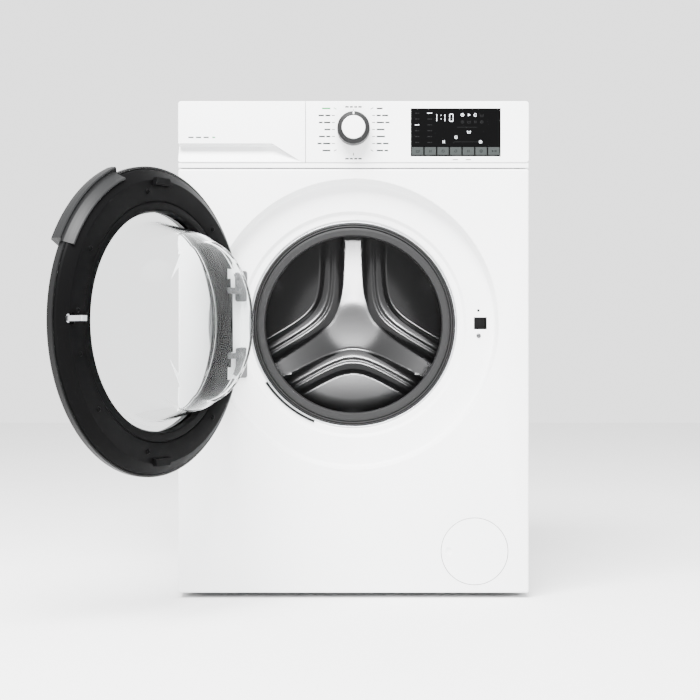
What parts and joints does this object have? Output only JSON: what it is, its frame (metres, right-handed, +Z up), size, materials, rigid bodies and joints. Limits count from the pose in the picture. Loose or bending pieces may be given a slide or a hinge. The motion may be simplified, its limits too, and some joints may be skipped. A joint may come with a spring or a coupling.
{
  "type": "front load washing machine",
  "caption": "Free-standing front loading washing machine: round glass door on a side hinge, sprung tub and belt-driven drum, detergent drawer, knob, display with keys, service flap.",
  "frame": {"origin": "on the floor, under the middle of the cabinet", "axes": "+X to the right of somebody facing the machine, +Y from its front to its back, +Z up"},
  "size_m": [0.7467, 0.9798, 0.85],
  "materials": {
    "white_panel": "gloss enamel",
    "white_plastic": "gloss moulded",
    "silver_plastic": "satin metallic moulded",
    "display_black": "high gloss",
    "key_grey": "satin",
    "dark_plastic": "satin moulded",
    "grey_plastic": "satin moulded",
    "clear_glass": "polished",
    "seal_rubber": "matt",
    "hose_rubber": "matt",
    "tub_plastic": "filled polypropylene",
    "drum_steel": "polished stainless",
    "bright_steel": "zinc plated",
    "cast_alloy": "die cast",
    "weight_concrete": "cast concrete",
    "motor_steel": "painted laminations",
    "spring_steel": "oiled"
  },
  "bodies": {
    "cabinet": {"side_panel_left": "white_panel", "side_panel_right": "white_panel", "rear_panel": "bright_steel", "top_cover": "white_plastic", "front_panel": "white_panel", "base_pan": "dark_plastic", "front_beam": "white_panel", "control_fascia": "white_plastic", "display_window": "display_black", "dispenser_housing": "grey_plastic", "inlet_valve": "white_plastic", "dispenser_hose": "hose_rubber", "mains_inlet": "dark_plastic", "pump_body": "dark_plastic", "sump_hose": "hose_rubber", "drain_outlet": "dark_plastic", "hinge_bracket": "bright_steel", "door_lock": "dark_plastic", "door_gasket": "seal_rubber", "gasket_clamp": "bright_steel", "damper_cylinders": "dark_plastic", "tub_springs": "spring_steel"},
    "tub": {"tub_front": "tub_plastic", "tub_rear": "tub_plastic", "counterweights": "weight_concrete", "heater": "bright_steel", "bearings": "bright_steel", "motor_body": "motor_steel", "damper_rods": "bright_steel", "drive_belt": "hose_rubber"},
    "drum": {"drum_shell": "drum_steel", "drum_front_ring": "drum_steel", "drum_back": "drum_steel", "drum_lifters": "grey_plastic", "drum_spider": "cast_alloy", "drum_pulley": "cast_alloy"},
    "rotor": {"motor_pulley": "motor_steel"},
    "impeller": {"pump_impeller": "dark_plastic"},
    "filter": {"pump_filter": "grey_plastic"},
    "door": {"door_cover": "white_plastic", "door_liner": "dark_plastic", "door_glass": "clear_glass", "door_handle": "grey_plastic", "door_hinge_arms": "white_plastic"},
    "hook": {"door_hook": "bright_steel"},
    "drawer": {"drawer_front": "white_plastic", "drawer_tray": "grey_plastic"},
    "knob": {"program_knob": "silver_plastic"},
    "flap": {"service_flap": "white_plastic"},
    "foot_fl": {"foot_front_left": "hose_rubber"},
    "foot_fr": {"foot_front_right": "hose_rubber"},
    "foot_bl": {"foot_back_left": "hose_rubber"},
    "foot_br": {"foot_back_right": "hose_rubber"},
    "key1": {"key_1": "key_grey"},
    "key2": {"key_2": "key_grey"},
    "key3": {"key_3": "key_grey"},
    "key4": {"key_4": "key_grey"},
    "key5": {"key_5": "key_grey"},
    "key6": {"key_6": "key_grey"},
    "key7": {"key_7": "key_grey"}
  },
  "joints": [
    {"name": "tub_bounce", "type": "slide", "parent": "cabinet", "child": "tub", "axis": [0, 0, 1], "range_m": [-0.008, 0.008], "stiffness_N_per_m": 20000, "springref_m": 0.01977, "deforming": ["tub_springs", "dispenser_hose", "sump_hose", "door_gasket"]},
    {"name": "drum_spin", "type": "hinge", "parent": "tub", "child": "drum", "pos_m": [0, 0, 0.4685], "axis": [0, 1, 0], "continuous": true},
    {"name": "motor_spin", "type": "hinge", "parent": "tub", "child": "rotor", "pos_m": [0.07, 0.24, 0.15], "axis": [0, 1, 0], "continuous": true},
    {"name": "pump_spin", "type": "hinge", "parent": "cabinet", "child": "impeller", "pos_m": [0.207, -0.1, 0.08], "axis": [0, 1, 0], "continuous": true},
    {"name": "filter_turn", "type": "hinge", "parent": "cabinet", "child": "filter", "pos_m": [0.207, -0.26, 0.08], "axis": [0, -1, 0], "range_deg": [0, 120]},
    {"name": "door_hinge", "type": "hinge", "parent": "cabinet", "child": "door", "pos_m": [-0.213, -0.2825, 0.4685], "axis": [0, 0, 1], "range_deg": [-8, 120]},
    {"name": "hook_pivot", "type": "hinge", "parent": "door", "child": "hook", "pos_m": [-0.41894, -0.6622, 0.4705], "axis": [0, 0, 1], "range_deg": [0, 8], "stiffness_Nm_per_rad": 0.2},
    {"name": "drawer_slide", "type": "slide", "parent": "cabinet", "child": "drawer", "axis": [0, -1, 0], "range_m": [0, 0.19]},
    {"name": "knob_turn", "type": "hinge", "parent": "cabinet", "child": "knob", "pos_m": [0, -0.29, 0.8015], "axis": [0, -1, 0], "continuous": true},
    {"name": "flap_pull", "type": "slide", "parent": "cabinet", "child": "flap", "axis": [0, -1, 0], "range_m": [0, 0.06]},
    {"name": "key_1_press", "type": "slide", "parent": "cabinet", "child": "key1", "axis": [0, 1, 0], "range_m": [0, 0.0008], "stiffness_N_per_m": 400},
    {"name": "key_2_press", "type": "slide", "parent": "cabinet", "child": "key2", "axis": [0, 1, 0], "range_m": [0, 0.0008], "stiffness_N_per_m": 400},
    {"name": "key_3_press", "type": "slide", "parent": "cabinet", "child": "key3", "axis": [0, 1, 0], "range_m": [0, 0.0008], "stiffness_N_per_m": 400},
    {"name": "key_4_press", "type": "slide", "parent": "cabinet", "child": "key4", "axis": [0, 1, 0], "range_m": [0, 0.0008], "stiffness_N_per_m": 400},
    {"name": "key_5_press", "type": "slide", "parent": "cabinet", "child": "key5", "axis": [0, 1, 0], "range_m": [0, 0.0008], "stiffness_N_per_m": 400},
    {"name": "key_6_press", "type": "slide", "parent": "cabinet", "child": "key6", "axis": [0, 1, 0], "range_m": [0, 0.0008], "stiffness_N_per_m": 400},
    {"name": "key_7_press", "type": "slide", "parent": "cabinet", "child": "key7", "axis": [0, 1, 0], "range_m": [0, 0.0008], "stiffness_N_per_m": 400},
    {"name": "foot_fl_turn", "type": "hinge", "parent": "cabinet", "child": "foot_fl", "pos_m": [-0.245, -0.195, 0.02], "axis": [0, 0, 1], "continuous": true},
    {"name": "foot_fr_turn", "type": "hinge", "parent": "cabinet", "child": "foot_fr", "pos_m": [0.245, -0.195, 0.02], "axis": [0, 0, 1], "continuous": true},
    {"name": "foot_bl_turn", "type": "hinge", "parent": "cabinet", "child": "foot_bl", "pos_m": [-0.245, 0.215, 0.02], "axis": [0, 0, 1], "continuous": true},
    {"name": "foot_br_turn", "type": "hinge", "parent": "cabinet", "child": "foot_br", "pos_m": [0.245, 0.215, 0.02], "axis": [0, 0, 1], "continuous": true}
  ],
  "couplings": [
    {"joint": "motor_spin", "follows": "drum_spin", "ratio": 10}
  ]
}
